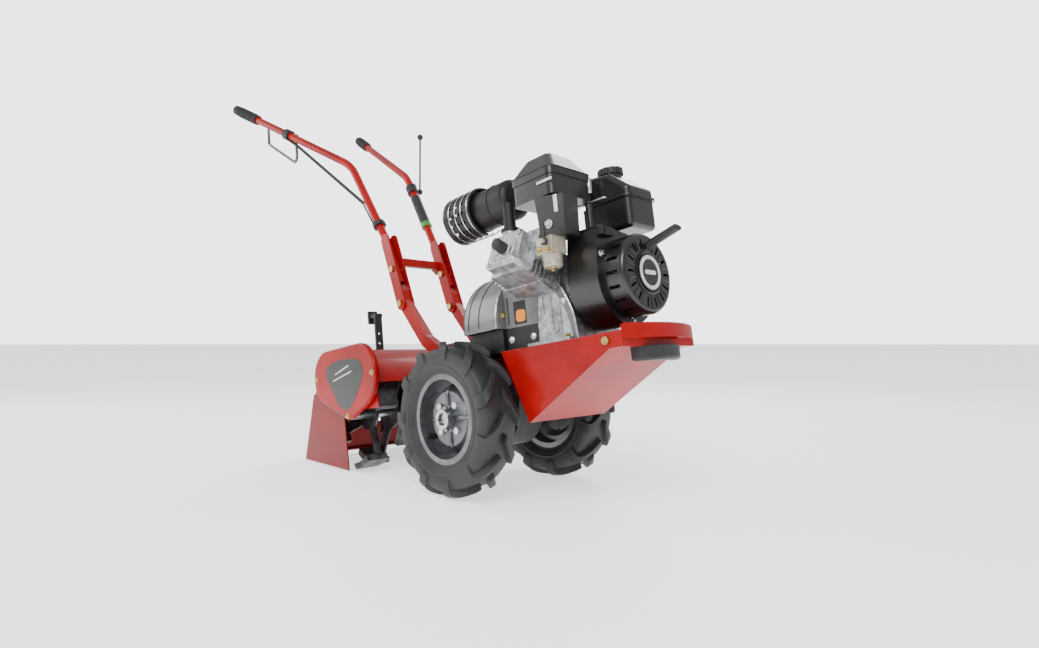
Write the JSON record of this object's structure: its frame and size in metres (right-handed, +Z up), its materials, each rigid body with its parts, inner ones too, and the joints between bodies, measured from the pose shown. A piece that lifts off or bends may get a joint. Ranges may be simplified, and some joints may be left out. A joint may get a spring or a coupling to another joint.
{
  "type": "rear-tine garden tiller",
  "caption": "Petrol rear-tine tiller: rubber-tyred wheels, hooded tines, belt-driven engine on a wedge deck, height-adjustable tube handle with bail and shift lever.",
  "frame": {"origin": "middle of the bounding box on the ground plane", "axes": "+X forward towards the bumper, +Y to the operator's left when walking behind, +Z up; the deck slopes 7.8 degrees nose-up"},
  "size_m": [1.553, 0.4898, 1.126],
  "materials": {
    "tyre_rubber": "matt black moulded rubber",
    "rim_silver": "silver-grey paint",
    "plain_steel": "machined steel",
    "zinc_steel": "yellowish zinc plating",
    "cast_case": "black painted casting",
    "tine_steel": "dark heat-treated steel",
    "red_paint": "glossy red powder coat",
    "red_panel": "glossy red powder coat on thin sheet",
    "grey_cover": "smooth grey paint",
    "black_sheet": "black paint",
    "engine_black": "black enamel on castings",
    "engine_alloy": "as-cast alloy",
    "black_plastic": "black semi-gloss plastic",
    "matt_plastic": "matt black plastic",
    "grip_rubber": "soft black rubber",
    "belt_rubber": "fabric-faced black rubber",
    "filter_foam": "pleated paper",
    "cast_weight": "black painted cast iron",
    "muffler_black": "heat-resistant black"
  },
  "bodies": {
    "chassis": {"air_cleaner_base": "black_plastic", "air_cleaner_cover": "black_plastic", "air_filter": "filter_foam", "belt_cover": "grey_cover", "belt_guard": "black_sheet", "blower_housing": "black_plastic", "carburetor": "engine_alloy", "crankcase": "engine_alloy", "cylinder_head": "engine_alloy", "depth_bracket": "red_paint", "drive_belt": "belt_rubber", "engine_deck": "red_paint", "frame_bolts": "zinc_steel", "frame_rails": "red_paint", "front_bumper": "red_paint", "front_weight": "cast_weight", "fuel_tank": "black_plastic", "gearcase_left": "cast_case", "gearcase_right": "cast_case", "handle_brace": "red_paint", "handle_bracket": "red_paint", "handle_pivots": "zinc_steel", "handle_struts": "red_paint", "hood_caps": "red_paint", "muffler": "muffler_black", "muffler_guard": "plain_steel", "piston": "engine_alloy", "recoil_housing": "black_plastic", "shaft_bearings": "plain_steel", "side_skirts": "red_panel", "spark_plug": "matt_plastic", "tine_hood": "red_paint", "valve_cover": "engine_alloy"},
    "wheels": {"tyres": "tyre_rubber", "wheel_rims": "rim_silver", "wheel_axle": "plain_steel", "wheel_bolts": "zinc_steel", "worm_wheel": "plain_steel"},
    "tines": {"tine_shaft": "plain_steel", "tine_blades": "tine_steel", "tine_gear": "plain_steel"},
    "drive_shaft": {"worm_shaft": "plain_steel", "driven_pulley": "plain_steel"},
    "crank": {"crankshaft": "plain_steel", "flywheel": "engine_alloy", "engine_pulley": "plain_steel"},
    "idler": {"idler_pulley": "plain_steel"},
    "handle": {"handle_tubes": "red_paint", "handle_grips": "grip_rubber", "cable_clamps": "matt_plastic", "control_cables": "matt_plastic"},
    "bail": {"drive_bail": "plain_steel"},
    "reverse": {"reverse_lever": "black_sheet"},
    "flap": {"rear_flap": "red_panel"},
    "depth": {"depth_bar": "black_sheet"},
    "cap": {"fuel_cap": "matt_plastic"},
    "throttle": {"throttle_lever": "plain_steel"},
    "choke": {"choke_lever": "matt_plastic"},
    "switch": {"engine_switch": "matt_plastic"},
    "recoil": {"recoil_handle": "matt_plastic"}
  },
  "joints": [
    {"name": "wheel_spin", "type": "hinge", "parent": "chassis", "child": "wheels", "pos_m": [0.32482, 0, 0.165], "axis": [0, 1, 0], "continuous": true},
    {"name": "tine_spin", "type": "hinge", "parent": "chassis", "child": "tines", "pos_m": [-0.07555, 0, 0.14044], "axis": [0, 1, 0], "continuous": true},
    {"name": "drive_spin", "type": "hinge", "parent": "chassis", "child": "drive_shaft", "pos_m": [0.31465, 0, 0.23931], "axis": [0.9907, 0, 0.1357], "continuous": true},
    {"name": "crank_spin", "type": "hinge", "parent": "chassis", "child": "crank", "pos_m": [0.29252, 0, 0.4008], "axis": [0.9907, 0, 0.1357], "continuous": true},
    {"name": "idler_spin", "type": "hinge", "parent": "chassis", "child": "idler", "pos_m": [0.40246, 0.067, 0.33511], "axis": [0.9907, 0, 0.1357], "continuous": true},
    {"name": "handle_height", "type": "hinge", "parent": "chassis", "child": "handle", "pos_m": [-0.0175, 0, 0.51982], "axis": [0, 1, 0], "range_deg": [-10, 10]},
    {"name": "bail_squeeze", "type": "hinge", "parent": "handle", "child": "bail", "pos_m": [-0.50975, 0, 0.97911], "axis": [0, 1, 0], "range_deg": [0, 20], "stiffness_Nm_per_rad": 0.8, "springref_deg": -20.05},
    {"name": "reverse_select", "type": "hinge", "parent": "handle", "child": "reverse", "pos_m": [-0.20569, 0, 0.79419], "axis": [0, 1, 0], "range_deg": [-20, 20], "stiffness_Nm_per_rad": 1.5},
    {"name": "flap_hinge", "type": "hinge", "parent": "chassis", "child": "flap", "pos_m": [-0.2513, 0, 0.17086], "axis": [0, 1, 0], "range_deg": [0, 70]},
    {"name": "depth_slide", "type": "slide", "parent": "chassis", "child": "depth", "axis": [-0.1357, 0, 0.9907], "range_m": [-0.05, 0.04]},
    {"name": "cap_turn", "type": "hinge", "parent": "chassis", "child": "cap", "pos_m": [0.58294, 0.052, 0.68282], "axis": [-0.1357, 0, 0.9907], "range_deg": [0, 90]},
    {"name": "throttle_swing", "type": "hinge", "parent": "chassis", "child": "throttle", "pos_m": [0.61404, -0.058, 0.59574], "axis": [-0.1357, 0, 0.9907], "range_deg": [-25, 25]},
    {"name": "choke_swing", "type": "hinge", "parent": "chassis", "child": "choke", "pos_m": [0.58565, -0.153, 0.51564], "axis": [0, 1, 0], "range_deg": [0, 60]},
    {"name": "switch_rock", "type": "hinge", "parent": "chassis", "child": "switch", "pos_m": [0.65761, -0.06, 0.53559], "axis": [0, 1, 0], "range_deg": [-10, 10]},
    {"name": "recoil_pull", "type": "slide", "parent": "chassis", "child": "recoil", "axis": [0.9907, 0, 0.1357], "range_m": [0, 0.05], "stiffness_N_per_m": 200, "springref_m": -0.01}
  ],
  "couplings": [
    {"joint": "tine_spin", "follows": "wheel_spin", "ratio": -6},
    {"joint": "drive_spin", "follows": "wheel_spin", "ratio": 24}
  ]
}
